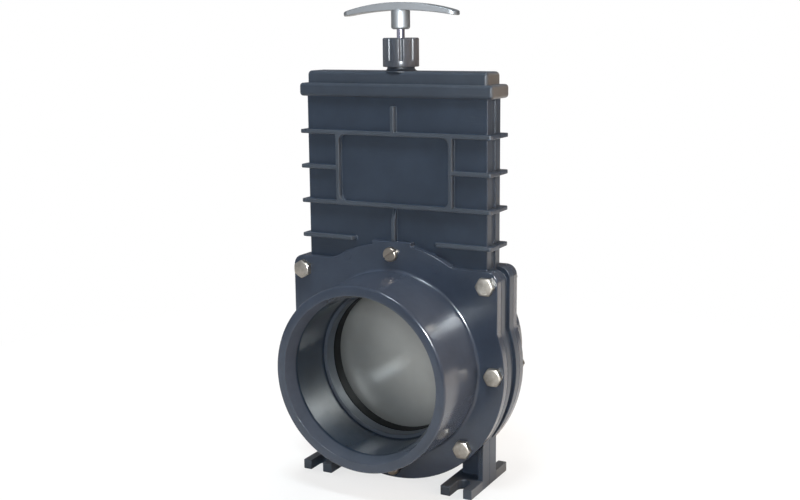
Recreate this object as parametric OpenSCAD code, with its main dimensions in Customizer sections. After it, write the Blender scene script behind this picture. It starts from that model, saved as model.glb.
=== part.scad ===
// Slide valve for a plastic pipeline: two socket flanges bolted round a split body, a sheet gate that
// is drawn up into a flat ribbed bonnet by a rod and a T-handle, and two slotted feet.
// Millimetres, +Z up, the pipe runs along Y. The origin lies on the floor, midway between the feet.

/* [Pipe socket] */
// Outside diameter of the pipe that is cemented into each socket
pipe_d = 160; // [140:1:180]
// Radial gap between the pipe and the socket wall
pipe_gap = 0.1; // [0.1:0.05:0.4]
// Wall of the socket at its rim
socket_wall = 14.9; // [11:0.1:18]
// Depth of the socket from its rim to the pipe stop
socket_depth = 67; // [55:1:85]
// Radial height of the pipe stop
stop_step = 4.1; // [3:0.1:6]
// Length of the throat between the pipe stop and the body
throat_len = 14.4; // [13:0.1:18]
// Radial width of the lead-in cone at the rim
lead_in_w = 4.9; // [3:0.1:7]
// Length of the lead-in cone
lead_in_len = 16; // [10:0.5:22]
// Extra radius of the socket at its root, for draft
socket_draft = 1; // [0.5:0.1:2]
// Radius of the rim's outer edge
rim_round = 2.5; // [1:0.1:4]
// Radius of the fillet at the socket's root
root_fillet = 3; // [1.5:0.1:5]

/* [Flange] */
// Thickness of the flange
flange_t = 9.6; // [8:0.1:12]
// Distance of the bolt circle from the socket's root
bolt_offset = 17.9; // [17:0.1:22]
// Distance of the flange's edge from the bolt circle
flange_edge = 10.8; // [10:0.1:14]
// Height of the ear bolts above the pipe's axis
ear_bolt_h = 90.3; // [84:0.1:96]
// Distance of the ear bolts from the bonnet's side
ear_bolt_out = 3.1; // [2:0.1:6]
// Distance of the ear's outer edge from its bolt
ear_edge = 12.1; // [11:0.1:15]
// Distance of the ear's top edge from its bolt
ear_rise = 14.2; // [12:0.1:17]
// Radius of the ear's outer corner
ear_round = 11; // [8:0.5:11]
// Radius of the hollow blend from the ear's top into the round flange
ear_blend = 20; // [10:1:26]
// Width of the flat pad at the flange's top
pad_w = 44; // [36:1:52]
// Height of that pad over the round flange
pad_rise = 2; // [1:0.1:3]

/* [Body and bonnet] */
// Thickness of the body across both halves
body_t = 31.2; // [29:0.2:36]
// Wall between the gate's slot and the bonnet's side
bonnet_side_wall = 12.6; // [11:0.1:16]
// Width of the groove round the body's edge
edge_groove_w = 12; // [10:0.5:18]
// Depth of the groove round the body's edge
edge_groove_d = 4; // [2:0.5:6]
// Width of the seam groove on the bonnet's sides
seam_w = 9; // [5:0.5:12]
// Depth of the seam groove
seam_d = 2; // [1:0.1:3]
// Thickness of the stiffening ribs
rib_t = 4; // [3:0.1:5]
// Height of the ribs over the bonnet's face
rib_face_h = 5.6; // [4:0.1:6.5]
// Height of the ribs over the bonnet's sides
rib_side_h = 6.6; // [4:0.1:7]
// Height of the lowest rib above the flange's round edge
rib_start = 1.2; // [0.5:0.1:2.5]
// Radius of a rib's rounded corner
rib_round = 2.8; // [1:0.1:5.5]
// Width of the framed panel between the ribs
panel_w = 128; // [110:1:150]
// Width of the gap in the lowest rib
rib_gap_w = 94; // [70:1:110]
// Slant of the lowest rib's ends at that gap
rib_slant = 2.5; // [1:0.1:4]
// Radius of the panel's corners
panel_round = 7; // [4:0.5:10]
// Distance of the upper middle rib from the cap
rib_end_gap = 6.6; // [4:0.1:10]
// Length of the slope at the head of the lower middle rib
rib_slope = 13; // [8:0.5:18]

/* [Cap and gland] */
// Depth of the cap's skirt over the bonnet
cap_skirt = 12; // [8:0.5:18]
// Thickness of the skirt at the faces
cap_face_wall = 4.7; // [4:0.1:7]
// Thickness of the skirt at the sides
cap_side_wall = 6.9; // [5:0.1:9]
// Height of the cap's lower tier
cap_lower_h = 13.5; // [13:0.1:20]
// Height of the cap's upper tier
cap_upper_h = 12.4; // [9:0.1:18]
// Corner radius of the cap
cap_round = 2.2; // [1:0.1:7]
// Radius of the tiers' ends, seen from the front
tier_round = 3; // [1:0.1:4]
// Gap between the skirt and the bonnet
cap_gap = 0.2; // [0.1:0.05:0.4]
// Diameter of the threaded neck
neck_d = 27.6; // [25:0.1:30]
// Radius of the flare at the neck's foot
neck_flare = 3.5; // [2:0.1:4]
// Diameter of the gland nut
gland_d = 36.4; // [34:0.1:42]
// Height of the gland nut
gland_h = 28.5; // [24:0.5:34]
// Gap between the cap and the gland nut
gland_lift = 4.1; // [4.1:0.1:6]
// Thickness of the gland nut's top
gland_top_t = 7.5; // [5:0.1:10]
// Number of grip flutes on the gland nut
flute_count = 10; // [8:1:14]
// Diameter of a flute
flute_d = 5; // [3:0.1:6]
// Turn of the flutes from the valve's side
flute_turn = 10; // [0:1:36]
// Radius of the gland nut's upper edge
gland_round = 1.5; // [0.5:0.1:2]
// Height of the plain collar below the flutes
gland_collar = 6.5; // [4:0.1:9]
// Diameter of the packing ring
packing_d = 16; // [14:0.1:18]
// Height of the packing ring
packing_h = 11; // [7:0.5:14]

/* [Gate] */
// Thickness of the gate
blade_t = 4; // [3:0.1:4.5]
// Distance of the gate's edge from the seal
blade_margin = 4; // [3:0.1:6]
// Gap between the gate's edge and the body's slot
slot_side_gap = 1.2; // [0.8:0.1:2]
// Gap between the gate's face and the body's slot
slot_face_gap = 1; // [0.6:0.1:1.6]
// Height of the gate's shoulder above the seal
blade_neck = 22; // [20:0.5:30]
// Radial width of the seal ring
seal_w = 8.5; // [7:0.1:11]
// Inward step of the seal from the throat
seal_step = 0.5; // [0.2:0.1:1.5]
// Gap between the seal and the gate
seal_gap = 0.3; // [0.2:0.05:0.5]
// Diameter of the rod
rod_d = 8; // [7:0.1:10]
// Gap round the rod in its guides
rod_gap = 0.4; // [0.3:0.05:0.6]
// Width of the rod's forked foot
fork_w = 16; // [14:0.5:22]
// Depth of the rod's forked foot
fork_d = 11; // [10.5:0.1:12]
// Height of the rod's forked foot
fork_h = 22; // [20:0.5:22]
// Height of the fork's bridge over the gate
fork_bridge = 6; // [4:0.1:8]
// Diameter of the pin through the fork
pin_d = 6; // [5:0.1:7]
// Gap between the fork and the body
fork_gap = 1.5; // [1:0.1:2]
// Lift past the throat when the gate is open
open_margin = 1; // [0:0.1:4]
// Room over the fork when the gate is open
headroom = 6; // [5:0.1:10]

/* [Handle] */
// Gap between the gland nut and the handle's boss
handle_lift = 8.3; // [6:0.1:10]
// Diameter of the handle's boss
boss_d = 19; // [16:0.1:22]
// Height of the boss below the grip
boss_h = 18.5; // [16:0.1:26]
// Radius of the boss's lower edge
boss_round = 2.5; // [1:0.1:3.5]
// Width of the grip
grip_w = 127; // [110:1:150]
// Depth of the grip
grip_d = 17; // [15:0.1:22]
// Thickness of the grip at its middle
grip_t = 8; // [7:0.1:11]
// Drop of the grip's upper face at its tips
grip_drop_top = 9.4; // [7:0.1:13]
// Drop of the grip's lower face at its tips
grip_drop_under = 5.6; // [4:0.1:6.5]
// Radius of the grip's tips
tip_round = 7; // [5:0.1:7.4]

/* [Feet] */
// Height of the flange's lowest edge over the floor
floor_gap = 0.5; // [0.5:0.1:6]
// Distance of the foot's outer side from the flange's widest point
foot_inset = 26; // [22:0.1:34]
// Width of a foot
foot_w = 34.5; // [30:0.1:40]
// Length of a foot
foot_len = 90; // [80:1:110]
// Thickness of a foot
foot_t = 10.2; // [8:0.1:13]
// Width of the open slot in a foot
foot_slot_w = 14.1; // [11:0.1:16]
// Distance of the slot from the foot's outer side
foot_slot_in = 9.5; // [7:0.1:12]
// Depth of the open slot
foot_slot_len = 24; // [18:0.5:26]
// Thickness of the leg's outer wall
leg_t = 5.6; // [4:0.1:8]
// Depth of the leg's outer wall
leg_d = 34; // [26:0.5:38]
// Thickness of the leg's web
leg_web_t = 8; // [6:0.5:12]

/* [Fasteners] */
// Diameter of the flange bolts
bolt_d = 10; // [8:1:12]
// Width across the flats of bolt heads and nuts
hex_af = 17; // [16:0.5:19]
// Height of a bolt head
bolt_head_h = 6.4; // [5:0.1:8]
// Height of a nut
nut_h = 8; // [6:0.1:10]
// Length of bolt that stands out of its nut
bolt_proud = 3; // [1:0.1:6]
// Radial gap round a bolt in its hole
bolt_gap = 0.5; // [0.3:0.1:0.8]
// Diameter of the short flange screws
screw_d = 8; // [6:0.5:9]
// Diameter of a screw's head
screw_head_d = 15; // [13:0.1:17]
// Height of a screw's head
screw_head_h = 5; // [4:0.1:6]
// Width of a screw's slot
screw_slot_w = 2.2; // [1.4:0.1:2.6]
// Wall left between a screw's tip and the body's inside
screw_wall = 3.5; // [2.5:0.1:5]

/* [Hidden] */
$fn = 96;
pvc = "#3e4654";
pvc_dark = "#353c49";
steel = "#b3aca0";
rubber = "#141518";
aluminium = "#a8aaad";
// Overrun of cuts past the faces that they open
over = 1;
// Slack of a part that is pushed into its seat
seat_gap = 0.1;
// Gap between a leg and the flange that it stands beside
leg_gap = 0.3;

// Socket and throat radii, and distances from the valve's middle plane
socket_r = pipe_d / 2 + pipe_gap;
rim_r = socket_r + socket_wall;
root_r = rim_r + socket_draft;
throat_r = socket_r - stop_step;
half_t = body_t / 2;
flange_y = half_t + flange_t;
stop_y = half_t + throat_len;
rim_y = stop_y + socket_depth;

// Seal, gate and slot
seal_r = throat_r - seal_step;
seal_outer_r = seal_r + seal_w;
blade_r = seal_outer_r + blade_margin;
blade_top = seal_outer_r + blade_neck;
slot_r = blade_r + slot_side_gap;
slot_y = blade_t / 2 + slot_face_gap;
seal_y = blade_t / 2 + seal_gap;
fork_top = blade_top + fork_bridge;
fork_bottom = fork_top - fork_h;
pin_h = blade_top - (blade_top - fork_bottom) / 2;
channel_y = fork_d / 2 + fork_gap;
travel = blade_r + throat_r + open_margin;

// Flange, bolts and bonnet
bolt_r = root_r + bolt_offset;
flange_r = bolt_r + flange_edge;
bonnet_hw = slot_r + bonnet_side_wall;
ear_bolt_x = bonnet_hw + ear_bolt_out;
ear_x = ear_bolt_x + ear_edge;
ear_top = ear_bolt_h + ear_rise;
bonnet_top = fork_top + travel + headroom;
cap_bottom = bonnet_top - cap_skirt;
rib_low = flange_r + rib_start;
rib_pitch = (cap_bottom - rib_low) / 4;
rib_hw = bonnet_hw + rib_side_h;
rib_y = half_t + rib_face_h;
panel_low = rib_low + rib_pitch;
panel_high = rib_low + 3 * rib_pitch;

// Heights of the cap, the gland and the handle
cap_step = cap_bottom + cap_lower_h;
cap_top = cap_step + cap_upper_h;
gland_low = cap_top + gland_lift;
gland_top = gland_low + gland_h;
neck_top = gland_top - gland_top_t;
boss_low = gland_top + handle_lift;
grip_under = boss_low + boss_h;
rod_top = grip_under - over;

// Feet, measured from the floor
bore_h = flange_r + floor_gap;
foot_out = flange_r - foot_inset;
foot_in = foot_out - foot_w;

// Places of the through bolts, as name, X, height above the pipe's axis and turn of the hexagon
BOLTS = [
    ["left", -bolt_r, 0, 0],
    ["right", bolt_r, 0, 30],
    ["lower_left", -bolt_r * cos(45), -bolt_r * sin(45), 0],
    ["lower_right", bolt_r * cos(45), -bolt_r * sin(45), 30],
    ["left_ear", -ear_bolt_x, ear_bolt_h, 0],
    ["right_ear", ear_bolt_x, ear_bolt_h, 30]];
SCREW_HEIGHTS = [bolt_r, -bolt_r];

// Puts a shape drawn about the pipe's axis at its height over the floor
module at_bore() {
    translate([0, 0, bore_h]) children();
}

// Repeats a shape on the left side
module both_sides() {
    children();
    mirror([1, 0, 0]) children();
}

// Extrudes an outline drawn in X and Z from one Y to another
module slab(y0, y1) {
    translate([0, y1, 0]) rotate([90, 0, 0]) linear_extrude(y1 - y0) children();
}

// Turns a profile of radius and distance from the middle plane about the pipe's axis, to the front
module turned() {
    rotate([90, 0, 0]) rotate_extrude($fn = 180) children();
}

// Round bar or hole along Y
module bar_y(x, z, r, y0, y1) {
    translate([x, y1, z]) rotate([90, 0, 0]) cylinder(h = y1 - y0, r = r);
}

// Hexagonal prism along Y, turned from having two flats upright
module hex_y(x, z, y0, y1, turn) {
    translate([x, y1, z]) rotate([90, 0, 0]) rotate([0, 0, 30 + turn])
        cylinder(h = y1 - y0, r = hex_af / 2 / cos(30), $fn = 6);
}

// Oblong with round corners, centred on the origin
module rounded_oblong(hw, hd, r) {
    square([2 * hw, 2 * (hd - r)], center = true);
    square([2 * (hw - r), 2 * hd], center = true);
    for (x = [-1, 1], y = [-1, 1]) translate([x * (hw - r), y * (hd - r)]) circle(r);
}

// Round flange with two squared ears, drawn smaller all round by inset
module flange_outline(inset = 0) {
    r = flange_r - inset;
    hw = ear_x - inset;
    top = ear_top - inset;
    corner = ear_round;
    blend_x = sqrt(pow(r + ear_blend, 2) - pow(top + ear_blend, 2));
    blend_share = r / (r + ear_blend);
    circle(r, $fn = 180);
    both_sides() {
        square([hw, top - corner]);
        square([hw - corner, top]);
        translate([hw - corner, top - corner]) circle(corner);
        difference() {
            polygon([[0, 0], [blend_x, 0], [blend_x, top],
                [blend_x * blend_share, (top + ear_blend) * blend_share]]);
            translate([blend_x, top + ear_blend]) circle(ear_blend);
        }
    }
}

module bolt_holes(y0, y1) {
    for (b = BOLTS) bar_y(b[1], b[2], bolt_d / 2 + bolt_gap, y0, y1);
}

// One socket with its flange, to the front
module socket_half() {
    difference() {
        union() {
            slab(-flange_y, -half_t) {
                flange_outline();
                translate([-pad_w / 2, 0]) square([pad_w, flange_r + pad_rise]);
            }
            turned() socket_profile();
        }
        turned() polygon([
            [0, half_t - over], [throat_r, half_t - over], [throat_r, stop_y], [socket_r, stop_y],
            [socket_r, rim_y - lead_in_len], [socket_r + lead_in_w, rim_y],
            [socket_r + lead_in_w, rim_y + over], [0, rim_y + over]]);
        bolt_holes(-flange_y - over, -half_t + over);
        for (z = SCREW_HEIGHTS) bar_y(0, z, screw_d / 2 + bolt_gap, -flange_y - over, -half_t + over);
    }
}

// Outside of the socket: drafted wall, rounded rim and a fillet on the flange
module socket_profile() {
    difference() {
        polygon([[0, half_t], [root_r, half_t], [root_r, flange_y], [rim_r, rim_y], [0, rim_y]]);
        translate([rim_r - rim_round, rim_y - rim_round]) difference() {
            square(rim_round + over);
            circle(rim_round);
        }
    }
    difference() {
        translate([root_r - over, flange_y - over]) square(root_fillet + over);
        translate([root_r + root_fillet, flange_y + root_fillet]) circle(root_fillet);
    }
}

// One half of the body with its bonnet, ribs and half feet, to the front of the middle plane
module body_half() {
    difference() {
        union() {
            slab(-half_t, -edge_groove_w / 2) flange_outline();
            slab(-edge_groove_w / 2, 0) flange_outline(edge_groove_d);
            slab(-half_t, -seam_w / 2) translate([-bonnet_hw, 0]) square([2 * bonnet_hw, bonnet_top]);
            slab(-seam_w / 2, 0) translate([-bonnet_hw + seam_d, 0])
                square([2 * (bonnet_hw - seam_d), bonnet_top]);
            bonnet_ribs();
            both_sides() half_foot();
        }
        slab(-slot_y, over) gate_outline(slot_r, bonnet_top + over);
        bar_y(0, 0, seal_outer_r + seat_gap, -half_t - over, 0);
        translate([-fork_w / 2 - fork_gap, -channel_y, fork_bottom - fork_gap])
            cube([fork_w + 2 * fork_gap, channel_y + over, bonnet_top + over]);
        bolt_holes(-half_t - over, over);
        for (z = SCREW_HEIGHTS) bar_y(0, z, screw_d / 2 + seat_gap, -half_t - over, -channel_y - screw_wall);
    }
}

// Ribs across the bonnet's face and round its sides, and the frame of the bare panel
module bonnet_ribs() {
    for (i = [0 : 3]) translate([0, 0, rib_low + i * rib_pitch - rib_t / 2]) linear_extrude(rib_t)
        difference() {
            intersection() {
                rounded_oblong(rib_hw, rib_y, rib_round);
                translate([-rib_hw, -rib_y]) square([2 * rib_hw, rib_y]);
            }
            if (i == 0) rib_gap(rib_gap_w, rib_slant);
            if (i == 2) rib_gap(panel_w, 0);
        }
    slab(-rib_y, -half_t + over) translate([0, (panel_low + panel_high) / 2]) difference() {
        square([panel_w + rib_t, panel_high - panel_low + rib_t], center = true);
        rounded_oblong((panel_w - rib_t) / 2, (panel_high - panel_low - rib_t) / 2, panel_round);
    }
    upright_rib(panel_high, cap_bottom - rib_end_gap, 0);
    upright_rib(flange_r + pad_rise, panel_low, rib_slope);
}

// Cut that takes the middle out of a rib's face, wider at the rib's edge than at its root
module rib_gap(w, slant) {
    polygon([[-w / 2 + slant, -half_t], [w / 2 - slant, -half_t],
        [w / 2 + slant, -rib_y - over], [-w / 2 - slant, -rib_y - over]]);
}

// Middle rib that runs up the bonnet's face and slopes back into it over the length of its head
module upright_rib(z0, z1, head) {
    head_top = z1 - rib_t / 2;
    translate([-rib_t / 2, 0, 0]) rotate([90, 0, 90]) linear_extrude(rib_t) polygon([
        [-half_t + over, z0], [-rib_y, z0], [-rib_y, head_top - head],
        [-rib_y + min(head, rib_face_h), head_top], [-half_t + over, head_top]]);
}

// Front half of the right foot: slotted sole, outer wall and web up to the round body
module half_foot() {
    slot_x = foot_out - foot_slot_in - foot_slot_w / 2;
    slot_end = -foot_len / 2 + foot_slot_len - foot_slot_w / 2;
    wall_in = foot_out - leg_t;
    core_r = flange_r - edge_groove_d;
    translate([0, 0, -bore_h]) linear_extrude(foot_t) difference() {
        translate([foot_in, -foot_len / 2]) square([foot_w, foot_len / 2]);
        translate([slot_x - foot_slot_w / 2, -foot_len / 2 - over])
            square([foot_slot_w, slot_end + foot_len / 2 + over]);
        translate([slot_x, slot_end]) circle(foot_slot_w / 2);
    }
    slab(-leg_d / 2, 0) difference() {
        translate([wall_in, -bore_h]) square([leg_t, bore_h - leg_join(foot_out, flange_r + over + leg_gap)]);
        circle(flange_r + leg_gap, $fn = 180);
    }
    slab(-half_t, 0) translate([wall_in, -bore_h]) square([leg_t, bore_h - leg_join(foot_out, core_r)]);
    slab(-leg_web_t / 2, 0) polygon([
        [foot_in + leg_t, -bore_h], [foot_out, -bore_h], [foot_out, -leg_join(foot_out, core_r)],
        [foot_in + leg_t, -leg_join(foot_in + leg_t, core_r)]]);
}

// Depth below the pipe's axis at which an upright at x is well inside a round of radius r
function leg_join(x, r) = sqrt(r * r - x * x) - over;

// Sheet with a round foot, up to a square top
module gate_outline(r, top) {
    circle(r, $fn = 180);
    translate([-r, 0]) square([2 * r, top]);
}

module front_socket() { color(pvc) at_bore() socket_half(); }

module rear_socket() { color(pvc) at_bore() mirror([0, 1, 0]) socket_half(); }

module front_body() { color(pvc_dark) at_bore() body_half(); }

module rear_body() { color(pvc_dark) at_bore() mirror([0, 1, 0]) body_half(); }

// Block of the cap between two heights, with round upright edges and round ends
module cap_tier(hw, hd, z0, z1) {
    intersection() {
        translate([0, 0, z0]) linear_extrude(z1 - z0) rounded_oblong(hw, hd, cap_round);
        slab(-hd, hd) translate([0, (z0 + z1) / 2]) rounded_oblong(hw, (z1 - z0) / 2, tier_round);
    }
}

// Two-tier lid that fits over the bonnet and carries the threaded neck
module top_cap() {
    color(pvc) at_bore() difference() {
        union() {
            cap_tier(bonnet_hw + cap_gap + cap_side_wall, half_t + cap_gap + cap_face_wall,
                cap_bottom, cap_step);
            cap_tier(bonnet_hw, half_t, cap_step - tier_round - over, cap_top);
            translate([0, 0, cap_top - over]) cylinder(h = neck_top - cap_top + over, d = neck_d);
            rotate_extrude() neck_flare_profile();
        }
        translate([-bonnet_hw - cap_gap, -half_t - cap_gap, cap_bottom - over])
            cube([2 * (bonnet_hw + cap_gap), body_t + 2 * cap_gap, cap_skirt + over]);
        translate([0, 0, cap_bottom]) cylinder(h = neck_top, r = rod_d / 2 + rod_gap);
        translate([0, 0, neck_top - packing_h]) cylinder(h = packing_h + over, d = packing_d);
    }
}

module neck_flare_profile() {
    difference() {
        translate([neck_d / 2 - over, cap_top - over]) square(neck_flare + over);
        translate([neck_d / 2 + neck_flare, cap_top + neck_flare]) circle(neck_flare);
    }
}

// Fluted cap nut that screws down on the neck and squeezes the packing
module gland_nut() {
    color(pvc_dark) at_bore() difference() {
        rotate_extrude() {
            translate([0, gland_low]) square([gland_d / 2, gland_h - gland_round]);
            translate([0, gland_top - gland_round - over])
                square([gland_d / 2 - gland_round, gland_round + over]);
            translate([gland_d / 2 - gland_round, gland_top - gland_round]) circle(gland_round);
        }
        translate([0, 0, gland_low - over])
            cylinder(h = neck_top - gland_low + over, d = neck_d + 2 * seat_gap);
        translate([0, 0, gland_low]) cylinder(h = gland_h + over, r = rod_d / 2 + rod_gap);
        for (i = [0 : flute_count - 1]) rotate([0, 0, flute_turn + i * 360 / flute_count])
            translate([gland_d / 2 + flute_d / 4, 0, gland_low + gland_collar])
                cylinder(h = gland_h, d = flute_d);
    }
}

module gland_packing() {
    color(rubber) at_bore() translate([0, 0, neck_top - packing_h]) difference() {
        cylinder(h = packing_h, d = packing_d - 2 * seat_gap);
        translate([0, 0, -over]) cylinder(h = packing_h + 2 * over, r = rod_d / 2 + seal_gap);
    }
}

// Rubber sleeve that lines the body from the flange to the gate
module seal_half() {
    turned() translate([seal_r, seal_y]) square([seal_w, half_t - seal_y]);
}

module front_seal() { color(rubber) at_bore() seal_half(); }

module rear_seal() { color(rubber) at_bore() mirror([0, 1, 0]) seal_half(); }

module gate_blade() {
    color(steel) at_bore() difference() {
        slab(-blade_t / 2, blade_t / 2) gate_outline(blade_r, blade_top);
        bar_y(0, pin_h, pin_d / 2 + seat_gap, -blade_t, blade_t);
    }
}

// Round rod with a forked foot that straddles the gate's top edge
module gate_rod() {
    color(steel) at_bore() difference() {
        union() {
            translate([0, 0, fork_top - over]) cylinder(h = rod_top - fork_top + over, d = rod_d);
            translate([-fork_w / 2, -fork_d / 2, fork_bottom]) cube([fork_w, fork_d, fork_h]);
        }
        translate([-fork_w, -blade_t / 2 - seat_gap, fork_bottom - over])
            cube([2 * fork_w, blade_t + 2 * seat_gap, blade_top - fork_bottom + over]);
        bar_y(0, pin_h, pin_d / 2 + seat_gap, -fork_d, fork_d);
    }
}

module rod_pin() { color(steel) at_bore() bar_y(0, pin_h, pin_d / 2, -fork_d / 2, fork_d / 2); }

// Radius of an arc from its half chord and its rise
function arc_r(half_chord, rise) = (half_chord * half_chord + rise * rise) / (2 * rise);

// Arched grip on a round boss
module t_handle() {
    half_w = grip_w / 2;
    over_r = arc_r(half_w, grip_drop_top);
    under_r = arc_r(half_w, grip_drop_under);
    color(aluminium) at_bore() difference() {
        union() {
            intersection() {
                slab(-grip_d / 2, grip_d / 2) difference() {
                    translate([0, grip_under + grip_t - over_r]) circle(over_r, $fn = 360);
                    translate([0, grip_under - under_r]) circle(under_r, $fn = 360);
                }
                translate([0, 0, boss_low]) linear_extrude(boss_h + 2 * grip_t)
                    rounded_oblong(half_w, grip_d / 2, tip_round);
            }
            rotate_extrude() boss_profile();
        }
        translate([0, 0, boss_low - over]) cylinder(h = rod_top - boss_low + over, r = rod_d / 2 + seat_gap);
    }
}

module boss_profile() {
    translate([0, boss_low + boss_round]) square([boss_d / 2, boss_h - boss_round + grip_t / 2]);
    translate([0, boss_low]) square([boss_d / 2 - boss_round, boss_round + over]);
    translate([boss_d / 2 - boss_round, boss_low + boss_round]) circle(boss_round);
}

// Hexagon bolt through both flanges and the body
module flange_bolt(x, z, turn) {
    color(steel) at_bore() {
        hex_y(x, z, -flange_y - bolt_head_h, -flange_y, turn);
        bar_y(x, z, bolt_d / 2, -flange_y - bolt_head_h / 2, flange_y + nut_h + bolt_proud);
    }
}

module flange_nut(x, z, turn) {
    color(steel) at_bore() difference() {
        hex_y(x, z, flange_y, flange_y + nut_h, turn);
        bar_y(x, z, bolt_d / 2 + seat_gap, flange_y - over, flange_y + nut_h + over);
    }
}

// Short slotted screw from the flange into the body, where a through bolt would meet the gate's rod
module flange_screw(z) {
    color(steel) at_bore() difference() {
        union() {
            bar_y(0, z, screw_head_d / 2, -flange_y - screw_head_h, -flange_y);
            bar_y(0, z, screw_d / 2, -flange_y - over, -channel_y - screw_wall - seat_gap);
        }
        translate([0, -flange_y - screw_head_h, z]) rotate([0, -35, 0])
            cube([screw_head_d + over, screw_head_h, screw_slot_w], center = true);
    }
}

front_socket();
rear_socket();
front_body();
rear_body();
top_cap();
gland_nut();
gland_packing();
front_seal();
rear_seal();
gate_blade();
gate_rod();
rod_pin();
t_handle();
for (b = BOLTS) {
    flange_bolt(b[1], b[2], b[3]);
    flange_nut(b[1], b[2], b[3]);
}
flange_screw(bolt_r);  // top_front_screw
mirror([0, 1, 0]) flange_screw(bolt_r);  // top_rear_screw
flange_screw(-bolt_r);  // bottom_front_screw
mirror([0, 1, 0]) flange_screw(-bolt_r);  // bottom_rear_screw
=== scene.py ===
import math

import bpy
from mathutils import Matrix, Vector


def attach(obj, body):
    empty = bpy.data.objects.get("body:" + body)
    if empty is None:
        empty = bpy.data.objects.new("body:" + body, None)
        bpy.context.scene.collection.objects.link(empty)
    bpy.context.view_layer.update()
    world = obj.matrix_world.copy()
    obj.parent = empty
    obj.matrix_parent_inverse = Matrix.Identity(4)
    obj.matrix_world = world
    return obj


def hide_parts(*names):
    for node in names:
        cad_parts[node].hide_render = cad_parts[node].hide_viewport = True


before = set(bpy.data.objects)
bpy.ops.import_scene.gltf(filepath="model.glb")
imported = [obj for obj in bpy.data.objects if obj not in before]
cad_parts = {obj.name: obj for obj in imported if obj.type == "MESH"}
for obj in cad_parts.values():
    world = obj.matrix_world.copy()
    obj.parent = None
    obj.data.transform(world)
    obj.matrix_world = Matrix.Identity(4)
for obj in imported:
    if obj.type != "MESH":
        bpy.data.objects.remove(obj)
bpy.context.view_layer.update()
MM = 0.001


# Body halves: two grey PVC mouldings that meet on the valve's middle plane, each with half of the ribbed
# bonnet and half of both feet. They are merged copies of the CAD solids with the soft edges of a mould, a
# fine grain and faint flow marks, and what stands proud is painted paler as a painted highlight.
def pick(piece):
    """Makes one piece active and the only one selected."""
    bpy.ops.object.select_all(action="DESELECT")
    piece.select_set(True)
    bpy.context.view_layer.objects.active = piece


def edit_all(piece):
    """Opens one piece in edit mode with all of its mesh selected."""
    pick(piece)
    bpy.ops.object.mode_set(mode="EDIT")
    bpy.ops.mesh.select_all(action="SELECT")


def named(piece, name):
    """Names a piece and its mesh."""
    piece.name = name
    piece.data.name = name
    return piece


def copied(source, name):
    """A copy of a piece with a mesh of its own."""
    piece = source.copy()
    piece.data = source.data.copy()
    bpy.context.scene.collection.objects.link(piece)
    return named(piece, name)


def even_faces(piece, weight):
    """Lets the large faces of a piece lead the shading, and keeps its sharp edges."""
    even = piece.modifiers.new("even_faces", "WEIGHTED_NORMAL")
    even.keep_sharp = True
    even.weight = weight
    bpy.ops.object.modifier_apply(modifier=even.name)


def round_edges(piece, width, segments=3, angle=35):
    """Rounds the edges that are sharper than an angle and shades the piece smooth."""
    bevel = piece.modifiers.new("edges", "BEVEL")
    bevel.width = width
    bevel.segments = segments
    bevel.limit_method = "ANGLE"
    bevel.angle_limit = math.radians(angle)
    bevel.use_clamp_overlap = False
    bevel.miter_outer = "MITER_ARC"
    bpy.ops.object.modifier_apply(modifier=bevel.name)
    bpy.ops.object.shade_smooth_by_angle(angle=math.radians(angle))
    even_faces(piece, weight=90)


def moulded_copy(node, name, edge, cuts=()):
    """A copy of a node's shape, merged, with its flat faces joined up between cuts and its edges rounded."""
    merge_gap, square = 0.002 * MM, 0.999999
    piece = copied(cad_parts[node], name)
    piece.parent = None
    for key in list(piece.keys()):
        del piece[key]
    piece.data.materials.clear()
    edit_all(piece)
    bpy.ops.mesh.remove_doubles(threshold=merge_gap)
    for place, normal in cuts:
        bpy.ops.mesh.select_all(action="SELECT")
        bpy.ops.mesh.bisect(plane_co=[part * MM for part in place], plane_no=normal)
        bpy.ops.mesh.mark_seam()
    bpy.ops.mesh.select_all(action="DESELECT")
    bpy.ops.mesh.select_mode(type="FACE")
    bpy.ops.object.mode_set(mode="OBJECT")
    for face in piece.data.polygons:
        face.select = max(abs(part) for part in face.normal) > square
    bpy.ops.object.mode_set(mode="EDIT")
    bpy.ops.mesh.dissolve_limited(angle_limit=math.radians(0.1), delimit={"NORMAL", "SEAM"})
    bpy.ops.mesh.select_mode(type="VERT")
    bpy.ops.mesh.select_all(action="SELECT")
    bpy.ops.mesh.tris_convert_to_quads(face_threshold=math.radians(1), shape_threshold=math.radians(180))
    bpy.ops.object.mode_set(mode="OBJECT")
    if edge:
        round_edges(piece, edge)
    return piece


def finish_piece(piece, body, slot, material, *nodes):
    """Gives a piece its material and its body, and hides the nodes that it stands for; its finish slot is not
    used.
    """
    piece.data.materials.clear()
    piece.data.materials.append(material)
    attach(piece, body)
    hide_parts(*nodes)


def new_group(name, inputs, outputs):
    """An empty shader group with named sockets."""
    group = bpy.data.node_groups.new(name, "ShaderNodeTree")
    for label, kind, value in inputs:
        socket = group.interface.new_socket(label, in_out="INPUT", socket_type=kind)
        socket.default_value = value
    for label, kind in outputs:
        group.interface.new_socket(label, in_out="OUTPUT", socket_type=kind)
    return group, group.nodes.new("NodeGroupInput"), group.nodes.new("NodeGroupOutput")


def new_material(name):
    """A new material, its node tree and its shader."""
    material = bpy.data.materials.new(name)
    material.use_nodes = True
    return material, material.node_tree, material.node_tree.nodes["Principled BSDF"]


def add_node(tree, kind, **values):
    """A shader node with its properties set by name and its inputs set by socket name."""
    made = tree.nodes.new(kind)
    for key, value in values.items():
        if hasattr(made, key) and key not in made.inputs:
            setattr(made, key, value)
        else:
            made.inputs[key.replace("_", " ")].default_value = value
    return made


def feed(tree, slot, value):
    """Links a slot to a socket, or sets it to a number or a colour."""
    if isinstance(value, bpy.types.NodeSocket):
        tree.links.new(value, slot)
    else:
        slot.default_value = (*value, 1) if isinstance(value, tuple) else value


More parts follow.
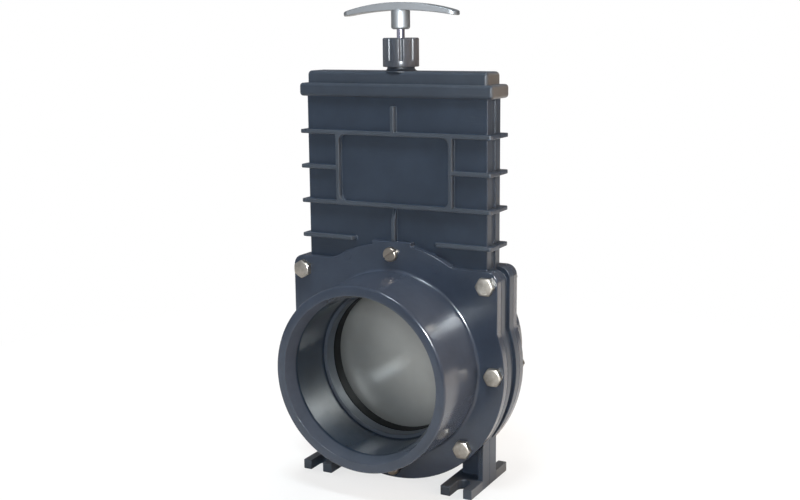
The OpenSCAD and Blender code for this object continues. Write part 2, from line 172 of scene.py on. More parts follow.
def own_place(tree):
    """Where a point lies on its own piece."""
    return add_node(tree, "ShaderNodeTexCoord").outputs["Object"]


def stretched(tree, place, **values):
    """A place that is turned and scaled."""
    made = add_node(tree, "ShaderNodeMapping", **values)
    tree.links.new(place, made.inputs["Vector"])
    return made.outputs["Vector"]


def split(tree, vector):
    """The X, Y and Z of a vector."""
    made = add_node(tree, "ShaderNodeSeparateXYZ")
    tree.links.new(vector, made.inputs[0])
    return made.outputs


def noise(tree, place, scale, detail=2.0, roughness=0.5):
    """A cloudy value at a place."""
    made = add_node(tree, "ShaderNodeTexNoise", Scale=scale, Detail=detail, Roughness=roughness)
    tree.links.new(place, made.inputs["Vector"])
    return made.outputs["Fac"]


def ramp(tree, value, start, end, first=0.0, last=1.0, shape="LINEAR"):
    """A value that runs from first to last while another runs from start to end."""
    made = add_node(tree, "ShaderNodeMapRange", interpolation_type=shape, From_Min=start, From_Max=end,
                    To_Min=first, To_Max=last)
    tree.links.new(value, made.inputs["Value"])
    return made.outputs["Result"]


def worked(tree, operation, *values, clamp=False):
    """The result of a sum on sockets and numbers."""
    made = add_node(tree, "ShaderNodeMath", operation=operation, use_clamp=clamp)
    for slot, value in zip(made.inputs, values):
        feed(tree, slot, value)
    return made.outputs[0]


def blended(tree, share, first, second):
    """A colour between two colours, by the share of the second."""
    made = add_node(tree, "ShaderNodeMix", data_type="RGBA")
    tree.links.new(share, made.inputs["Factor"])
    feed(tree, made.inputs["A"], first)
    feed(tree, made.inputs["B"], second)
    return made.outputs["Result"]


def add_relief(tree, shader, height, strength, depth):
    """Bumps a shader's normal by a height."""
    relief = add_node(tree, "ShaderNodeBump", Strength=strength, Distance=depth)
    tree.links.new(height, relief.inputs["Height"])
    tree.links.new(relief.outputs["Normal"], shader.inputs["Normal"])


def moulded_grain():
    """Group for moulded plastic: clouded colour, fine grain, hairline scuffs and settled dust."""
    group, given, out = new_group("moulded_grain", [
        ("Color", "NodeSocketColor", (0.05, 0.06, 0.08, 1)),
        ("Dust Color", "NodeSocketColor", (0.16, 0.155, 0.15, 1)),
        ("Cloud", "NodeSocketFloat", 0.2),
        ("Scuff", "NodeSocketFloat", 0.25),
        ("Dust", "NodeSocketFloat", 0.2),
        ("Gloss", "NodeSocketFloat", 0.38),
    ], [("Color", "NodeSocketColor"), ("Roughness", "NodeSocketFloat"), ("Height", "NodeSocketFloat")])
    cloud_scale, patch_scale, dust_scale, grain_scale = 26.0, 14.0, 90.0, 1400.0
    cloud_rough, pale_rough, cloud_height = 0.02, 0.12, 6.0
    place = own_place(group)

    cloud = noise(group, place, cloud_scale, 4.0, 0.6)
    clouds = ramp(group, cloud, 0.3, 0.7, -1.0, 1.0)
    clouded = add_node(group, "ShaderNodeVectorMath", operation="SCALE")
    group.links.new(given.outputs["Color"], clouded.inputs[0])
    group.links.new(worked(group, "MULTIPLY_ADD", clouds, given.outputs["Cloud"], 1.0), clouded.inputs["Scale"])

    streaks = stretched(group, place, Rotation=(0.3, 0.5, 0.9), Scale=(40.0, 900.0, 900.0))
    scratches = ramp(group, noise(group, streaks, 1.0), 0.6, 0.72)
    patches = ramp(group, noise(group, place, patch_scale), 0.5, 0.72)
    scuffed = worked(group, "MULTIPLY", scratches, patches)
    scuff = worked(group, "MULTIPLY", scuffed, given.outputs["Scuff"])

    normal = add_node(group, "ShaderNodeNewGeometry").outputs["Normal"]
    upward = ramp(group, split(group, normal)["Z"], 0.35, 0.95)
    settled = ramp(group, noise(group, place, dust_scale, 5.0, 0.7), 0.35, 0.75)
    dusty = worked(group, "MULTIPLY", upward, settled)
    dust = worked(group, "MULTIPLY", dusty, given.outputs["Dust"])
    pale = worked(group, "ADD", dust, scuff, clamp=True)
    color = blended(group, pale, clouded.outputs["Vector"], given.outputs["Dust Color"])
    group.links.new(color, out.inputs["Color"])

    rough = worked(group, "MULTIPLY_ADD", clouds, cloud_rough, given.outputs["Gloss"])
    rougher = worked(group, "MULTIPLY_ADD", pale, pale_rough, rough, clamp=True)
    group.links.new(rougher, out.inputs["Roughness"])
    ripple = worked(group, "MULTIPLY_ADD", cloud, cloud_height, noise(group, place, grain_scale))
    group.links.new(ripple, out.inputs["Height"])
    return group


GRAIN = moulded_grain()


def plastic(name, color, gloss, dust=0.25, cloud=0.12, scuff=0.12, bump=0.06, specular=0.5):
    """Moulded plastic of one colour, finished by the grain group in its node "grain"."""
    material, tree, shader = new_material(name)
    shader.inputs["Specular IOR Level"].default_value = specular
    grain = add_node(tree, "ShaderNodeGroup", name="grain", node_tree=GRAIN, Color=(*color, 1), Gloss=gloss,
                     Dust=dust, Cloud=cloud, Scuff=scuff)
    tree.links.new(grain.outputs["Color"], shader.inputs["Base Color"])
    tree.links.new(grain.outputs["Roughness"], shader.inputs["Roughness"])
    add_relief(tree, shader, grain.outputs["Height"], bump, depth=0.4 * MM)
    return material


# Painted highlight: whatever stands more than 16.5 mm from the middle plane is painted paler, for the light it
# catches.
body_dark, body_proud_painted_light, proud_light_start, proud_light_end = (0.033, 0.044, 0.065), (0.067, 0.076, 0.092), 16.5, 19.5
body_pvc = plastic("body_pvc", body_dark, gloss=0.34, dust=0.15, specular=0.3)
tree = body_pvc.node_tree
from_middle = worked(tree, "ABSOLUTE", split(tree, own_place(tree))["Y"])
proud_painted_light_share = ramp(tree, from_middle, proud_light_start * MM, proud_light_end * MM)
tree.links.new(blended(tree, proud_painted_light_share, body_dark, body_proud_painted_light), tree.nodes["grain"].inputs["Color"])

body_edge = 0.7 * MM
bore_h, ear_bolt_h, low_bolt_x = 125.2, 90.3, 80.54
ACROSS, ALONG, UP = (1, 0, 0), (0, 1, 0), (0, 0, 1)
body_cuts = [((0, 0, 0), ACROSS), ((low_bolt_x, 0, 0), ACROSS), ((-low_bolt_x, 0, 0), ACROSS),
             ((0, 0, bore_h), UP), ((0, 0, bore_h + ear_bolt_h), UP)]
for node in ("front_body", "rear_body"):
    half = moulded_copy(node, node + "_moulding", body_edge, body_cuts)
    finish_piece(half, "valve_body", "grey_pvc", body_pvc, node)


# Socket flanges: one PVC moulding at each end, bolted to the body. A copy of the flange plate is joined to a
# tube that is turned anew, with a drafted bore and a soft rim. The bore is glossier than the outside and is
# painted darker as painted shade inside it, the lead-in is painted paler as painted light, and the throat is dull.
# Painted shade and light: the bore is painted darker for the shade inside it, and the lead-in paler for the light
# on it.
socket_outside_grey, bore_painted_shade, lead_in_painted_light = (0.045, 0.055, 0.078), (0.016, 0.026, 0.042), (0.085, 0.093, 0.116)
wall_gloss, throat_gloss = 0.15, 0.5
socket_edge = 0.7 * MM
throat_r, bore_r, rim_r, root_r = 76.0, 80.1, 95.0, 96.0
flange_y, stop_y, rim_y = 25.2, 30.0, 97.0
lead_in, lead_len, lead_ease, rim_round, root_fillet, soft = 4.9, 16.0, 0.6, 2.5, 3.0, 0.5
plate_skin, lap, bury = 0.05, 0.06, 0.8
mark_places, mark_r, mark_h = [(-51.7, 108.7), (49.8, 103.0)], 4.2, 0.25
MERGE_GAP = 0.003 * MM

socket_pvc = plastic("socket_pvc", socket_outside_grey, gloss=wall_gloss, dust=0.05, scuff=0.1)
tree = socket_pvc.node_tree
spot = split(tree, own_place(tree))
above = worked(tree, "SUBTRACT", spot["Z"], bore_h * MM)
across_squared = worked(tree, "MULTIPLY", spot["X"], spot["X"])
radius = worked(tree, "SQRT", worked(tree, "MULTIPLY_ADD", above, above, across_squared))
in_throat = (bore_r - 1.0) * MM, (bore_r - 0.3) * MM
past_bore = (bore_r + 0.3) * MM, (bore_r + 1.0) * MM
past_lead = (bore_r + lead_in + 0.6) * MM, (bore_r + lead_in - 0.1) * MM
# Painted light on the lead-in, then painted shade in the bore, chosen by the distance from the bore's axis.
outside = blended(tree, ramp(tree, radius, *past_lead), socket_outside_grey, lead_in_painted_light)
bore_shade_mix = blended(tree, ramp(tree, radius, *past_bore), bore_painted_shade, outside)
tree.links.new(bore_shade_mix, tree.nodes["grain"].inputs["Color"])
dulled = ramp(tree, radius, *in_throat, throat_gloss, wall_gloss)
tree.links.new(dulled, tree.nodes["grain"].inputs["Gloss"])


def arc(center, radius, start, end, steps):
    """Points of an arc in a profile, from one angle in degrees to another."""
    turns = [math.radians(start + (end - start) * i / steps) for i in range(steps + 1)]
    return [(center[0] + radius * math.cos(t), center[1] + radius * math.sin(t)) for t in turns]


def drawn(name, points):
    """A closed line through points in millimetres, left in edit mode with all of it selected."""
    bpy.ops.object.select_all(action="DESELECT")
    bpy.ops.mesh.primitive_plane_add(size=MM, location=(0, 0, 0))
    piece = named(bpy.context.object, name)
    edit_all(piece)
    bpy.ops.mesh.merge(type="CENTER")
    bpy.ops.transform.translate(value=Vector(points[0]) * MM)
    for start, end in zip(points, points[1:] + points[:1]):
        step = (Vector(end) - Vector(start)) * MM
        bpy.ops.mesh.extrude_vertices_move(TRANSFORM_OT_translate={"value": step})
    bpy.ops.mesh.select_all(action="SELECT")
    bpy.ops.mesh.remove_doubles(threshold=MERGE_GAP)
    return piece


def spun(name, profile, height=bore_h, steps=160, upright=False):
    """A ring turned from a closed profile of radius and place along the axis, which is upright or along Y."""
    points = [(r, 0, along) if upright else (r, along, height) for r, along in profile]
    piece = drawn(name, points)
    bpy.ops.mesh.spin(steps=steps, angle=math.tau, center=(0, 0, 0 if upright else height * MM),
                      axis=UP if upright else ALONG)
    bpy.ops.mesh.select_all(action="SELECT")
    bpy.ops.mesh.remove_doubles(threshold=MERGE_GAP)
    bpy.ops.mesh.normals_make_consistent(inside=False)
    bpy.ops.object.mode_set(mode="OBJECT")
    bpy.ops.object.shade_smooth_by_angle(angle=math.radians(30))
    return piece


def joined(first, second):
    """Joins a second piece into a first."""
    pick(first)
    second.select_set(True)
    bpy.ops.object.join()
    return first


root_out = root_r + root_fillet + 0.5
wall = [(throat_r + lap, flange_y - bury), (throat_r, flange_y + 0.1)]
wall += arc((throat_r + soft, stop_y - soft), soft, 180, 90, 3)
wall += arc((bore_r - soft, stop_y + soft), soft, 270, 360, 3)
wall += [(bore_r, rim_y - lead_len - lead_ease), (bore_r + 0.2, rim_y - lead_len + lead_ease)]
wall += arc((bore_r + lead_in + soft, rim_y - soft), soft, 163, 90, 4)
wall += arc((rim_r - rim_round, rim_y - rim_round), rim_round, 90, 0, 8)
wall += arc((root_r + root_fillet, flange_y + root_fillet), root_fillet, 180, 270, 6)
wall += [(root_out, flange_y - lap), (root_out, flange_y - bury)]
mark_ring = [(0, -0.1), (0.1, mark_h), (0.6, mark_h), (0.8, -0.1)]
for node, side in (("front_socket", -1), ("rear_socket", 1)):
    plate = moulded_copy(node, node + "_moulding", 0, body_cuts)
    edit_all(plate)
    bpy.ops.mesh.bisect(plane_co=(0, side * (flange_y + plate_skin) * MM, 0), plane_no=(0, side, 0),
                        clear_outer=True)
    bpy.ops.object.mode_set(mode="OBJECT")
    round_edges(plate, socket_edge)
    joined(plate, spun(node + "_tube", [(r, side * y) for r, y in wall]))
    for x, height in mark_places:
        mark = spun("ejector_mark", [(mark_r + out, side * (flange_y + rise)) for out, rise in mark_ring],
                    bore_h + height, steps=36)
        mark.data.transform(Matrix.Translation((x * MM, 0, 0)))
        joined(plate, mark)
    finish_piece(plate, "valve_body", "grey_pvc", socket_pvc, node)


# Cap: a two-tier PVC lid pushed over the bonnet and welded there, with the threaded neck for the gland.
# Two soft-edged blocks are joined, hollowed for the bonnet and bored for the rod. It is duller than the
# body, and its end faces are painted paler as painted light.
# Painted light: the end faces of both tiers are painted paler than the front.
cap_front, cap_end_painted_light, end_light_start, end_light_end = (0.041, 0.050, 0.067), (0.088, 0.087, 0.088), 2.4, 0.2
cap_low, cap_step, cap_top, neck_top, bonnet_top = 396.2, 409.7, 422.1, 447.2, 408.2
cap_hw, cap_hd, bonnet_hw, bonnet_hd, cap_gap = 108.9, 20.5, 101.8, 15.6, 0.2
low_round, high_round, tier_lap, hollow_lap, step_ease = 3.4, 4.2, 8, 5, 0.3
rod_hole_r, packing_hole_r, packing_h, neck_r, neck_flare, neck_ease = 4.4, 8.0, 11.0, 13.8, 3.5, 0.8

cap_pvc = plastic("cap_pvc", cap_front, gloss=0.48, specular=0.25)
tree = cap_pvc.node_tree
spot = split(tree, own_place(tree))
# Painted light: a mask of each tier's end faces, by the distance in from that tier's end.
tier_end = ramp(tree, spot["Z"], (cap_step - step_ease) * MM, (cap_step + step_ease) * MM,
                cap_hw * MM, bonnet_hw * MM)
inward = worked(tree, "SUBTRACT", tier_end, worked(tree, "ABSOLUTE", spot["X"]))
end_lit_share = ramp(tree, inward, end_light_start * MM, end_light_end * MM)
tree.links.new(blended(tree, end_lit_share, cap_front, cap_end_painted_light), tree.nodes["grain"].inputs["Color"])


def block(name, half_x, half_y, low, high, edge=0.0):
    """A block between two heights with its edges bevelled round."""
    bpy.ops.object.select_all(action="DESELECT")
    bpy.ops.mesh.primitive_cube_add(size=2)
    piece = named(bpy.context.object, name)
    edit_all(piece)
    bpy.ops.transform.resize(value=(half_x * MM, half_y * MM, (high - low) / 2 * MM))
    bpy.ops.transform.translate(value=(0, 0, (low + high) / 2 * MM))
    if edge:
        bpy.ops.mesh.bevel(offset=edge * MM, segments=5, affect="EDGES")
    bpy.ops.object.mode_set(mode="OBJECT")
    return piece


def boolean(piece, tool, operation):
    """Cuts a piece with a tool, joins them or keeps what they share, and drops the tool."""
    pick(piece)
    cut = piece.modifiers.new("cut", "BOOLEAN")
    cut.operation = operation
    cut.object = tool
    bpy.ops.object.modifier_apply(modifier=cut.name)
    bpy.data.objects.remove(tool)


cap = block("cap_moulding", cap_hw, cap_hd, cap_low, cap_step, low_round)
upper_tier = block("upper_tier", bonnet_hw, bonnet_hd, cap_low + tier_lap, cap_top, high_round)
boolean(cap, upper_tier, "UNION")
hollow = block("hollow", bonnet_hw + cap_gap, bonnet_hd + cap_gap, cap_low - hollow_lap, bonnet_top)
boolean(cap, hollow, "DIFFERENCE")
rod_hole = spun("rod_hole", [(0, cap_low - 1), (rod_hole_r, cap_low - 1), (rod_hole_r, neck_top), (0, neck_top)],
                steps=48, upright=True)
boolean(cap, rod_hole, "DIFFERENCE")
bpy.ops.object.shade_smooth_by_angle(angle=math.radians(35))
even_faces(cap, weight=50)
foot_r = neck_r + neck_flare
neck = spun("neck", [(rod_hole_r, cap_top - 1), (foot_r, cap_top - 1)]
            + arc((foot_r, cap_top + neck_flare), neck_flare, 270, 180, 6)
            + [(neck_r, neck_top - neck_ease), (neck_r - neck_ease, neck_top), (packing_hole_r, neck_top),
               (packing_hole_r, neck_top - packing_h), (rod_hole_r, neck_top - packing_h)],
            steps=72, upright=True)
joined(cap, neck)
finish_piece(cap, "valve_body", "grey_pvc", cap_pvc, "top_cap")


# Gland nut and packing: a fluted PVC cap nut screwed onto the neck, paler and shinier than the cap, over a
# soft black packing ring round the rod. The fluted section is drawn up and rounded in, and its collar turned.
gland_low, gland_top, collar_top, gland_r, gland_round = 426.2, 454.7, 432.7, 18.2, 1.5
flute_count, flute_r, flute_turn, flute_soft, shoulder_steps = 10, 2.5, 10, 0.3, 5
collar_gap, collar_lap, collar_low_round, collar_top_round = 0.1, 0.5, 0.6, 0.7
packing_edge = 0.4 * MM
gland_pvc = plastic("gland_pvc", (0.080, 0.083, 0.096), gloss=0.3, dust=0.05, bump=0.02, specular=0.2)


def fluted(degrees):
    """Radius of the fluted section at an angle, with soft edges between flutes and lands."""
    pitch = 360 / flute_count
    off = math.radians((degrees - flute_turn + pitch / 2) % pitch - pitch / 2)
    away = gland_r + flute_r / 2
    reach = flute_r ** 2 - (away * math.sin(off)) ** 2
    if reach <= 0:
        return gland_r
    dip = away * math.cos(off) - math.sqrt(reach)
    return min(gland_r, -flute_soft * math.log(math.exp(-gland_r / flute_soft) + math.exp(-dip / flute_soft)))


def fluted_point(degrees):
    """Point of the fluted section at an angle, just under the collar's top."""
    radius, turn = fluted(degrees), math.radians(degrees)
    return radius * math.cos(turn), radius * math.sin(turn), collar_top - collar_lap


gland = drawn("gland_nut_moulding", [fluted_point(degrees) for degrees in range(360)])
shoulder = arc((gland_r - gland_round, 0), gland_round, 0, 90, shoulder_steps)
climb = [(gland_top - gland_round - collar_top + collar_lap, 1.0)]
climb += [(rise - last_rise, width / last_width)
          for (last_width, last_rise), (width, rise) in zip(shoulder, shoulder[1:])]
climb += [(0, rod_hole_r / (gland_r - gland_round)), (neck_top - gland_top, 1.0)]
for rise, share in climb:
    bpy.ops.mesh.extrude_edges_move(TRANSFORM_OT_translate={"value": (0, 0, rise * MM)})
    bpy.ops.transform.resize(value=(share, share, 1), center_override=(0, 0, 0))
bpy.ops.mesh.select_all(action="SELECT")
bpy.ops.mesh.normals_make_consistent(inside=False)
bpy.ops.object.mode_set(mode="OBJECT")
bpy.ops.object.shade_smooth_by_angle(angle=math.radians(35))
collar_r = neck_r + collar_gap
low_center = gland_r - collar_low_round, gland_low + collar_low_round
top_center = gland_r - collar_top_round, collar_top - collar_top_round
collar = spun("collar", [(collar_r, gland_low), (low_center[0], gland_low)]
              + arc(low_center, collar_low_round, 270, 360, 4)[1:] + arc(top_center, collar_top_round, 0, 90, 4)
              + [(collar_r, collar_top)], steps=120, upright=True)
joined(gland, collar)
finish_piece(gland, "valve_body", "gland_pvc", gland_pvc, "gland_nut")

rubber = plastic("black_rubber", (0.002, 0.0024, 0.003), gloss=0.5, dust=0.0, cloud=0.3, scuff=0.02,
                 specular=0.05)
packing_cuts = [((0, 0, 0), ACROSS), ((0, 0, 0), ALONG)]
packing = moulded_copy("gland_packing", "gland_packing_ring", packing_edge, packing_cuts)
finish_piece(packing, "valve_body", "black_rubber", rubber, "gland_packing")


# Seals: two black rubber sleeves, pressed into the body on both sides of the gate. They are copies of the
# CAD solids with soft lips.
seal_lip = 0.8 * MM
for node in ("front_seal", "rear_seal"):
    seal = moulded_copy(node, node + "_ring", seal_lip)
    finish_piece(seal, "valve_body", "black_rubber", rubber, node)


# Gate: a stainless sheet, ground to a dull satin, hung on a polished round rod by a fork and a pin. All
# three are copies of the CAD solids with their edges broken.
def metal(name, color, rough, streak=(1.0, 1.0, 1.0), tarnish=0.15, bump=0.03, spread=0.05, film=0.0,
          stain_scale=60.0):
    """Bare metal with fine lines along its longest streak axis, a tarnish in stains and a share of dull film."""
    line_scale = 600.0
    material, tree, shader = new_material(name)
    shader.inputs["Metallic"].default_value = 1.0 - film
    place = own_place(tree)
    lines = noise(tree, stretched(tree, place, Scale=streak), line_scale, 3.0, 0.6)
    stain = noise(tree, place, stain_scale, 3.0)
    tarnished = tuple(part * (1 - tarnish) for part in color)
    tree.links.new(blended(tree, stain, color, tarnished), shader.inputs["Base Color"])
    lined = ramp(tree, lines, 0.25, 0.75, rough - spread, rough + spread)
    tree.links.new(lined, shader.inputs["Roughness"])
    add_relief(tree, shader, lines, bump, depth=0.2 * MM)
    return material


blade_edge, rod_edge = 0.3 * MM, 0.4 * MM
gate_steel = metal("gate_steel", (0.315, 0.315, 0.30), rough=0.39, bump=0.0, spread=0.0, film=0.06)
blade = moulded_copy("gate_blade", "gate_sheet", blade_edge)
finish_piece(blade, "gate", "gate_steel", gate_steel, "gate_blade")

rod_steel = metal("rod_steel", (0.60, 0.57, 0.66), rough=0.08, streak=(1.0, 1.0, 0.1), tarnish=0.08,
                  bump=0.0, spread=0.02)
rod = moulded_copy("gate_rod", "rod_turned", rod_edge)
finish_piece(rod, "gate", "rod_steel", rod_steel, "gate_rod")
pin = moulded_copy("rod_pin", "rod_pin_turned", rod_edge)
finish_piece(pin, "gate", "rod_steel", rod_steel, "rod_pin")


# T-handle: cast aluminium, tumbled to a soft satin. The arched grip is drawn and extruded with rounded tips,
# and joined to a turned boss that screws onto the rod.
handle_aluminium = metal("handle_aluminium", (0.24, 0.243, 0.247), rough=0.58, tarnish=0.1, bump=0.04)
boss_low, grip_under, grip_top, rod_top = 463.0, 481.5, 489.5, 480.5
grip_hw, grip_hd, drop_top, drop_under, tip_round = 63.5, 8.5, 9.4, 5.6, 7.0
boss_r, boss_round, boss_bore, boss_lap = 9.5, 2.5, 4.1, 3
grip_edge = 1.0 * MM


def bow(crown, drop, steps=28, plain=9.0):
    """Points of an arched line from left to right, with a plain end where the tip is rounded."""
    radius = (grip_hw ** 2 + drop ** 2) / (2 * drop)
    inner = grip_hw - plain
    places = [-grip_hw] + [inner * (2 * i / steps - 1) for i in range(steps + 1)] + [grip_hw]
    return [(x, -grip_hd, crown - radius + math.sqrt(radius ** 2 - x ** 2)) for x in places]


handle = drawn("handle_casting", bow(grip_top, drop_top) + bow(grip_under, drop_under)[::-1])
bpy.ops.mesh.edge_face_add()
bpy.ops.mesh.extrude_region_move(TRANSFORM_OT_translate={"value": (0, 2 * grip_hd * MM, 0)})
bpy.ops.mesh.select_all(action="SELECT")
bpy.ops.mesh.normals_make_consistent(inside=False)
bpy.ops.mesh.select_all(action="DESELECT")
bpy.ops.mesh.select_mode(type="EDGE")
bpy.ops.object.mode_set(mode="OBJECT")
points = handle.data.vertices
for edge in handle.data.edges:
    start, end = (points[i].co for i in edge.vertices)
    edge.select = min(abs(start.x), abs(end.x)) > (grip_hw - 1) * MM and abs(start.y - end.y) < 0.1 * MM
bpy.ops.object.mode_set(mode="EDIT")
bpy.ops.mesh.bevel(offset=tip_round * MM, segments=8, affect="EDGES")
bpy.ops.mesh.select_mode(type="VERT")
bpy.ops.object.mode_set(mode="OBJECT")
round_edges(handle, grip_edge)
boss_center = boss_r - boss_round, boss_low + boss_round
boss_in, bore_top = grip_hd - 0.1, rod_top + 0.1
boss = spun("boss", [(boss_bore, boss_low), (boss_center[0], boss_low)]
            + arc(boss_center, boss_round, 270, 360, 8)[1:]
            + [(boss_r, grip_under - 0.8), (boss_r - 0.3, grip_under), (boss_in, grip_under + 1.0),
               (boss_in, grip_under + boss_lap), (0, grip_under + boss_lap), (0, bore_top), (boss_bore, bore_top)],
            steps=72, upright=True)
joined(handle, boss)
finish_piece(handle, "gate", "handle_aluminium", handle_aluminium, "t_handle")


# Flange bolts and nuts: six hexagon-head bolts of dull, mottled steel, cold-headed and chamfered, from the
# front flange through to nuts behind the rear one. One bolt and one nut are modelled and copied.
fastener_steel = metal("fastener_steel", (0.42, 0.38, 0.33), rough=0.44, tarnish=0.55, bump=0.08, spread=0.1,
                       stain_scale=330.0)
hex_af, hex_edge, head_h, nut_h = 17.0, 0.3 * MM, 6.4, 8.0
chamfer_r, chamfer_out, chamfer_drop = 7.6, 3.2, 1.85
shank_r, thread_r, shank_proud = 5.0, 4.4, 3.0
bolt_r, ear_bolt_x = 113.9, 104.9


def hexagon(name, inner, outer):
    """A hexagonal block along Y whose outer end is turned to a chamfer."""
    bpy.ops.object.select_all(action="DESELECT")
    bpy.ops.mesh.primitive_cylinder_add(
        vertices=6, radius=hex_af / 2 / math.cos(math.radians(30)) * MM, depth=abs(outer - inner) * MM,
        location=(0, (inner + outer) / 2 * MM, 0), rotation=(math.pi / 2, 0, 0))
    piece = named(bpy.context.object, name)
    bpy.ops.object.transform_apply(location=True, rotation=True, scale=True)
    round_edges(piece, hex_edge, segments=2, angle=50)
    way = 1 if outer > inner else -1
    reach = chamfer_r + chamfer_out
    turned = spun("turned_end", [(0, inner - way), (reach, inner - way), (reach, outer - way * chamfer_drop),
                                 (chamfer_r + 0.25, outer - way * 0.08), (chamfer_r, outer), (0, outer)],
                  height=0, steps=96)
    boolean(piece, turned, "INTERSECT")
    bpy.ops.object.shade_smooth_by_angle(angle=math.radians(20))
    return piece


def placed(model, name, x, height, turn):
    """A copy of a model with its own mesh, turned and then put at a place in millimetres."""
    piece = copied(model, name)
    piece.data.transform(Matrix.Translation((x * MM, 0, height * MM)) @ turn)
    return piece


shank_end = flange_y + nut_h + shank_proud
thread = [(shank_r, 3.2), (thread_r, 2.5), (shank_r, 1.8), (thread_r, 1.1), (4.7, 0.7), (4.0, 0), (0, 0)]
shank = [(0, -flange_y - 1), (shank_r, -flange_y - 1)] + [(r, shank_end - back) for r, back in thread]
bolt_model = hexagon("bolt_model", -flange_y, -flange_y - head_h)
joined(bolt_model, spun("shank", shank, height=0, steps=48))
nut_model = hexagon("nut_model", flange_y, flange_y + nut_h)
bolt_places = {"left": (-bolt_r, 0, 0), "right": (bolt_r, 0, 30),
               "lower_left": (-low_bolt_x, -low_bolt_x, 0), "lower_right": (low_bolt_x, -low_bolt_x, 30),
               "left_ear": (-ear_bolt_x, ear_bolt_h, 0), "right_ear": (ear_bolt_x, ear_bolt_h, 30)}
for name, (x, height, degrees) in bolt_places.items():
    turn = Matrix.Rotation(math.radians(degrees), 4, "Y")
    bolt = placed(bolt_model, name + "_bolt_turned", x, bore_h + height, turn)
    finish_piece(bolt, "valve_body", "fastener_steel", fastener_steel, name + "_bolt")
    nut = placed(nut_model, name + "_nut_turned", x, bore_h + height, turn)
    finish_piece(nut, "valve_body", "fastener_steel", fastener_steel, name + "_nut")
bpy.data.objects.remove(bolt_model)
bpy.data.objects.remove(nut_model)


# Flange screws: short slotted pan-head screws at the top and bottom of each flange, of browner and shinier
# steel than the bolts. One is turned and slotted, and then copied.
screw_steel = metal("screw_steel", (0.40, 0.34, 0.28), rough=0.32, tarnish=0.3, bump=0.01)
screw_head_r, screw_head_h, screw_round, slot_w, slot_turn = 7.5, 5.0, 1.6, 2.2, -35
screw_r, screw_tip, tip_ease = 4, 10.7, 1
head_y = -flange_y - screw_head_h
head_center = screw_head_r - screw_round, head_y + screw_round
screw_model = spun("screw_model", [(0, head_y)] + arc(head_center, screw_round, 270, 360, 5)
                   + [(screw_head_r, -flange_y), (screw_r, -flange_y), (screw_r, -screw_tip - tip_ease),
                      (screw_r - tip_ease, -screw_tip), (0, -screw_tip)], height=0, steps=64)
bpy.ops.object.select_all(action="DESELECT")
bpy.ops.mesh.primitive_cube_add(size=1)
slot_tool = bpy.context.object
slot_tool.scale = (2.4 * screw_head_r * MM, screw_head_h * MM, slot_w * MM)
slot_tool.rotation_euler = (0, math.radians(slot_turn), 0)
slot_tool.location = (0, head_y * MM, 0)
boolean(screw_model, slot_tool, "DIFFERENCE")
bpy.ops.object.shade_smooth_by_angle(angle=math.radians(30))
for name, height, half_turn in (("top_front", bolt_r, 0), ("top_rear", bolt_r, 180),
                                ("bottom_front", -bolt_r, 0), ("bottom_rear", -bolt_r, 180)):
    turn = Matrix.Rotation(math.radians(half_turn), 4, "Z")
    screw = placed(screw_model, name + "_screw_turned", 0, bore_h + height, turn)
    finish_piece(screw, "valve_body", "fastener_steel", screw_steel, name + "_screw")
bpy.data.objects.remove(screw_model)


# Stage: a white floor that keeps the valve's shadow, a room that is white to the camera and dim to the
# valve, a flash close to the camera with soft light round it, and the camera at the photograph's place.
floor_size, floor_front, shadow_start, shadow_end, shadow_lift = 8.0, 0.6, 0.2, 0.8, 0.72
bpy.ops.object.select_all(action="DESELECT")
bpy.ops.mesh.primitive_plane_add(size=floor_size, location=(0, floor_size / 2 - floor_front, 0))
floor = bpy.context.object
floor.name = "floor"
floor_white, tree, shader = new_material("floor_white")
tree.nodes.remove(shader)
matt = add_node(tree, "ShaderNodeBsdfDiffuse", Color=(0.8, 0.8, 0.8, 1))
glow = add_node(tree, "ShaderNodeEmission", Color=(1, 1, 1, 1), Strength=1.0)
path = add_node(tree, "ShaderNodeLightPath")
away = add_node(tree, "ShaderNodeVectorMath", operation="LENGTH")
tree.links.new(add_node(tree, "ShaderNodeNewGeometry").outputs["Position"], away.inputs[0])
fade = ramp(tree, away.outputs["Value"], shadow_start, shadow_end, shadow_lift, 1.0)
mixed = add_node(tree, "ShaderNodeMixShader")
tree.links.new(worked(tree, "MULTIPLY", path.outputs["Is Camera Ray"], fade), mixed.inputs["Fac"])
tree.links.new(matt.outputs[0], mixed.inputs[1])
tree.links.new(glow.outputs[0], mixed.inputs[2])
tree.links.new(mixed.outputs[0], tree.nodes["Material Output"].inputs["Surface"])
floor.data.materials.append(floor_white)

world = bpy.data.worlds.new("studio")
bpy.context.scene.world = world
world.use_nodes = True
tree = world.node_tree
backdrop = tree.nodes["Background"]
backdrop.inputs["Strength"].default_value = 1.0
path = add_node(tree, "ShaderNodeLightPath")
aim = split(tree, add_node(tree, "ShaderNodeTexCoord").outputs["Generated"])
behind = ramp(tree, aim["Y"], -0.35, 0.5, shape="SMOOTHSTEP")
dim_room = blended(tree, behind, (0.04, 0.045, 0.05), (0.12, 0.11, 0.10))
mirrored_room = blended(tree, behind, (0.38, 0.41, 0.46), (0.12, 0.11, 0.11))
room = blended(tree, path.outputs["Is Glossy Ray"], dim_room, mirrored_room)
tree.links.new(blended(tree, path.outputs["Is Camera Ray"], room, (1, 1, 1)), backdrop.inputs["Color"])


def softbox(name, place, target, width, height, power, color, glossy=True, diffuse=True):
    """A rectangular area lamp that faces a target, and that can be kept out of mirrors or of matt light."""
    lamp = bpy.data.lights.new(name, "AREA")
    lamp.shape = "RECTANGLE"
    lamp.size = width
    lamp.size_y = height
    lamp.energy = power
    lamp.color = color
    holder = bpy.data.objects.new(name, lamp)
    bpy.context.scene.collection.objects.link(holder)
    holder.location = place
    holder.rotation_euler = (Vector(target) - Vector(place)).to_track_quat("-Z", "Y").to_euler()
    holder.visible_glossy = glossy
    holder.visible_diffuse = diffuse


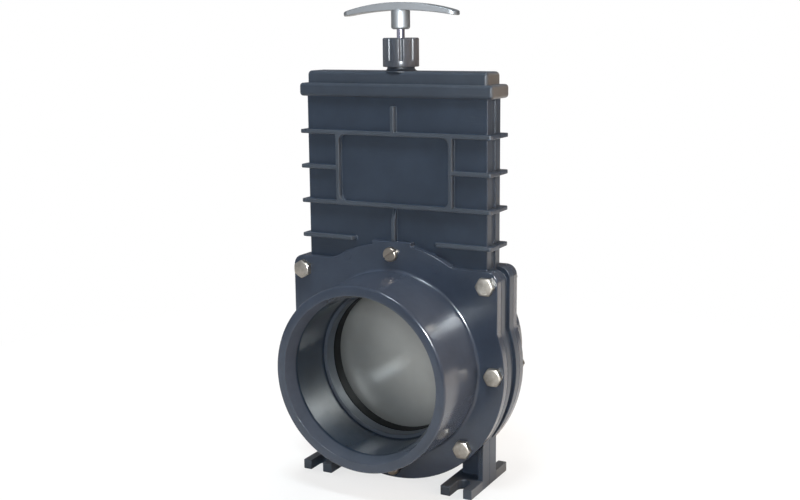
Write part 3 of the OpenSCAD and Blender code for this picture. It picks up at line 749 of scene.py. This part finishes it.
middle = Vector((0.0, 0.0, 0.2))
key_place = middle + 1.6 * Vector((0.39, -0.87, 0.31))
overhead_place = middle + 1.5 * Vector((0.08, -0.32, 0.94))
warm_white = (1.0, 0.95, 0.88)
softbox("front_key", key_place, middle, 0.22, 0.22, 6.0, (0.56, 0.78, 1.0))
softbox("right_box", (1.5, 0.1, 0.7), middle, 1.2, 1.4, 28.0, (1.0, 0.79, 0.61), glossy=False)
softbox("flash", (0.53, -1.01, 0.565), middle, 0.14, 0.14, 38.0, (0.92, 0.97, 1.0), diffuse=False)
softbox("camera_card", (0.60, -1.13, 0.50), (0, 0, 0.45), 0.30, 0.14, 3.0, (0.94, 0.97, 1.0), diffuse=False)
softbox("overhead", overhead_place, middle, 0.35, 0.35, 16.0, (0.80, 0.92, 1.0))
softbox("left_box", (-1.5, 0.3, 0.7), middle, 1.2, 1.2, 26.0, warm_white, glossy=False)
softbox("back_box", (-0.3, 1.7, 0.8), middle, 1.2, 1.2, 34.0, warm_white, glossy=False)
softbox("left_card", (-0.75, -1.25, 0.10), (0, 0, 0.12), 0.7, 0.5, 3.6, (0.85, 0.95, 1.0), glossy=False)

photo_width = 800
focal_px = 1173.683
sensor = 36.0
yaw, pitch, roll = 0.4888, 0.1888, -0.0097
view_aim = Vector((-3.199 * MM, 0, 113.561 * MM + bore_h * MM))
view_distance = 1213.23 * MM
forward = -Vector((math.sin(yaw) * math.cos(pitch), -math.cos(yaw) * math.cos(pitch), math.sin(pitch)))
right = Vector((math.cos(yaw), math.sin(yaw), 0))
upward = right.cross(forward)
camera_x = math.cos(roll) * right + math.sin(roll) * upward
camera_y = -math.sin(roll) * right + math.cos(roll) * upward
camera_data = bpy.data.cameras.new("camera")
camera_data.sensor_width = sensor
camera_data.lens = sensor * focal_px / photo_width
camera = bpy.data.objects.new("camera", camera_data)
bpy.context.scene.collection.objects.link(camera)
turn = Matrix((camera_x, camera_y, -forward)).transposed().to_4x4()
camera.matrix_world = Matrix.Translation(view_aim - view_distance * forward) @ turn
bpy.context.scene.camera = camera
bpy.context.scene.view_settings.view_transform = "Standard"
